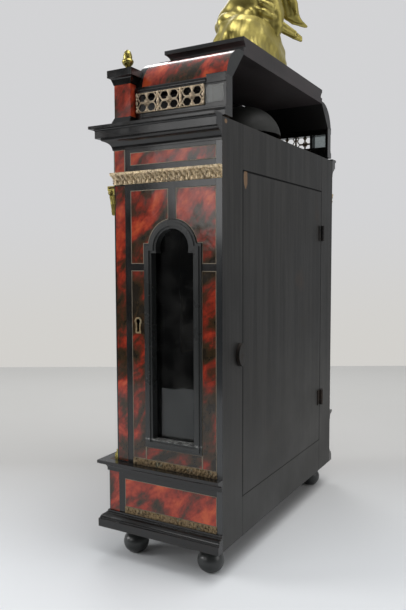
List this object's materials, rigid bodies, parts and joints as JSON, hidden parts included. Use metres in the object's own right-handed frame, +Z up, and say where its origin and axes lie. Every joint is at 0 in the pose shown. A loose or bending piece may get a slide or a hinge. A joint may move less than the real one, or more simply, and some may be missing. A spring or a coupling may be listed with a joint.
{
  "type": "table clock",
  "caption": "Religieuse table clock in ebonised wood and red tortoiseshell with gilt mounts, a seated gilt figure, opening doors, pendulum and striking movement.",
  "frame": {"origin": "centre of the overall box, on the table the feet stand on", "axes": "+Z up, -Y towards the reader of the dial, +Y through the back door"},
  "size_m": [0.3608, 0.1551, 0.7045],
  "materials": {
    "ebonised_wood": "polished",
    "blackened_wood": "satin",
    "oak": "satin",
    "tortoiseshell": "polished",
    "brass": "satin",
    "gilt_bronze": "polished",
    "window_glass": "polished",
    "pane": "satin",
    "velvet": "matte",
    "bell_metal": "satin",
    "steel": "satin",
    "blued_steel": "polished",
    "dark_iron": "satin"
  },
  "bodies": {
    "case": {"bun_feet": "ebonised_wood", "plinth_boards": "ebonised_wood", "plinth_mouldings": "ebonised_wood", "side_board_right": "ebonised_wood", "side_board_left": "ebonised_wood", "cornice": "ebonised_wood", "window_mouldings": "ebonised_wood", "hood_mouldings": "ebonised_wood", "hood_wall_right": "ebonised_wood", "hood_wall_left": "ebonised_wood", "hood_front": "ebonised_wood", "pedestal_mouldings": "ebonised_wood", "back_frame": "blackened_wood", "hood_platform": "blackened_wood", "carcase_boards": "oak", "dial_battens": "oak", "tortoiseshell_case": "tortoiseshell", "hood_quarter_rounds": "tortoiseshell", "pedestals": "tortoiseshell", "brass_lines": "brass", "movement_frame": "brass", "architrave_band": "gilt_bronze", "gilt_strips": "gilt_bronze", "hood_frets": "gilt_bronze", "finials": "gilt_bronze", "figure_mound": "gilt_bronze", "figure": "gilt_bronze", "chapter_ring": "gilt_bronze", "side_glass": "window_glass", "hood_panes": "pane", "dial_plate": "velvet", "bell": "bell_metal", "bell_stand": "steel", "lock_case": "steel", "case_hinge_leaves": "dark_iron"},
    "front_door": {"front_door_frame": "ebonised_wood", "door_tortoiseshell": "tortoiseshell", "door_brass_lines": "brass", "door_glass": "window_glass", "door_window_moulding": "gilt_bronze", "door_mounts": "gilt_bronze", "door_hinge_leaves": "dark_iron"},
    "back_door": {"back_door": "blackened_wood", "back_door_hinge_leaves": "dark_iron"},
    "turn_button": {"turn_button": "dark_iron"},
    "lock_bolt": {"lock_bolt": "steel"},
    "minute_arbor": {"centre_wheel": "brass", "minute_hand": "blued_steel"},
    "hour_hand": {"hour_hand": "blued_steel"},
    "minute_wheel": {"minute_wheel": "brass"},
    "third_wheel": {"third_wheel": "brass"},
    "escape_wheel": {"escape_wheel": "brass"},
    "anchor": {"anchor": "steel"},
    "pendulum": {"pendulum": "brass"},
    "going_barrel": {"going_barrel": "brass"},
    "strike_barrel": {"strike_barrel": "brass"},
    "winding_arbor_going": {"winding_arbor_going": "steel"},
    "winding_arbor_strike": {"winding_arbor_strike": "steel"},
    "pin_wheel": {"pin_wheel": "brass"},
    "hammer": {"hammer": "steel"}
  },
  "joints": [
    {"name": "front_door_swing", "type": "hinge", "parent": "case", "child": "front_door", "pos_m": [-0.1674, -0.0414, 0.253], "axis": [0, 0, -1], "range_deg": [0, 105]},
    {"name": "back_door_swing", "type": "hinge", "parent": "case", "child": "back_door", "pos_m": [-0.1198, 0.07515, 0.237], "axis": [0, 0, 1], "range_deg": [0, 110]},
    {"name": "turn_button_turn", "type": "hinge", "parent": "case", "child": "turn_button", "pos_m": [0.1284, 0.074, 0.2255], "axis": [0, 1, 0], "range_deg": [-90, 90]},
    {"name": "lock_bolt_slide", "type": "slide", "parent": "case", "child": "lock_bolt", "axis": [0, -1, 0], "range_m": [0, 0.008]},
    {"name": "minute_turn", "type": "hinge", "parent": "case", "child": "minute_arbor", "pos_m": [0, 0, 0.276], "axis": [0, -1, 0], "continuous": true},
    {"name": "hour_turn", "type": "hinge", "parent": "case", "child": "hour_hand", "pos_m": [0, -0.033, 0.276], "axis": [0, -1, 0], "continuous": true},
    {"name": "minute_wheel_turn", "type": "hinge", "parent": "case", "child": "minute_wheel", "pos_m": [0, -0.033, 0.252], "axis": [0, -1, 0], "continuous": true},
    {"name": "third_turn", "type": "hinge", "parent": "case", "child": "third_wheel", "pos_m": [0, 0, 0.3033], "axis": [0, -1, 0], "continuous": true},
    {"name": "escape_turn", "type": "hinge", "parent": "case", "child": "escape_wheel", "pos_m": [0, 0, 0.3267], "axis": [0, -1, 0], "continuous": true},
    {"name": "going_barrel_turn", "type": "hinge", "parent": "case", "child": "going_barrel", "pos_m": [0.03947, 0, 0.26164], "axis": [0, -1, 0], "continuous": true},
    {"name": "strike_barrel_turn", "type": "hinge", "parent": "case", "child": "strike_barrel", "pos_m": [-0.03947, 0, 0.26164], "axis": [0, -1, 0], "continuous": true},
    {"name": "pin_wheel_turn", "type": "hinge", "parent": "case", "child": "pin_wheel", "pos_m": [-0.03217, 0, 0.303], "axis": [0, -1, 0], "continuous": true},
    {"name": "pendulum_swing", "type": "hinge", "parent": "case", "child": "pendulum", "pos_m": [0, 0.037, 0.3487], "axis": [0, -1, 0], "range_deg": [-5, 5]},
    {"name": "anchor_swing", "type": "hinge", "parent": "case", "child": "anchor", "pos_m": [0, 0, 0.3487], "axis": [0, -1, 0], "range_deg": [-5, 5]},
    {"name": "hammer_lift", "type": "hinge", "parent": "case", "child": "hammer", "pos_m": [-0.03967, 0, 0.3375], "axis": [0, -1, 0], "range_deg": [-5, 1]},
    {"name": "winding_going_turn", "type": "hinge", "parent": "case", "child": "winding_arbor_going", "pos_m": [0.03947, 0, 0.26164], "axis": [0, -1, 0], "continuous": true},
    {"name": "winding_strike_turn", "type": "hinge", "parent": "case", "child": "winding_arbor_strike", "pos_m": [-0.03947, 0, 0.26164], "axis": [0, -1, 0], "continuous": true}
  ],
  "couplings": [
    {"joint": "hour_turn", "follows": "minute_turn", "ratio": 0.083333},
    {"joint": "minute_wheel_turn", "follows": "minute_turn", "ratio": -0.33333},
    {"joint": "third_turn", "follows": "minute_turn", "ratio": -12},
    {"joint": "escape_turn", "follows": "minute_turn", "ratio": 144},
    {"joint": "going_barrel_turn", "follows": "minute_turn", "ratio": -0.16667},
    {"joint": "pin_wheel_turn", "follows": "strike_barrel_turn", "ratio": -6},
    {"joint": "anchor_swing", "follows": "pendulum_swing", "ratio": 1}
  ]
}
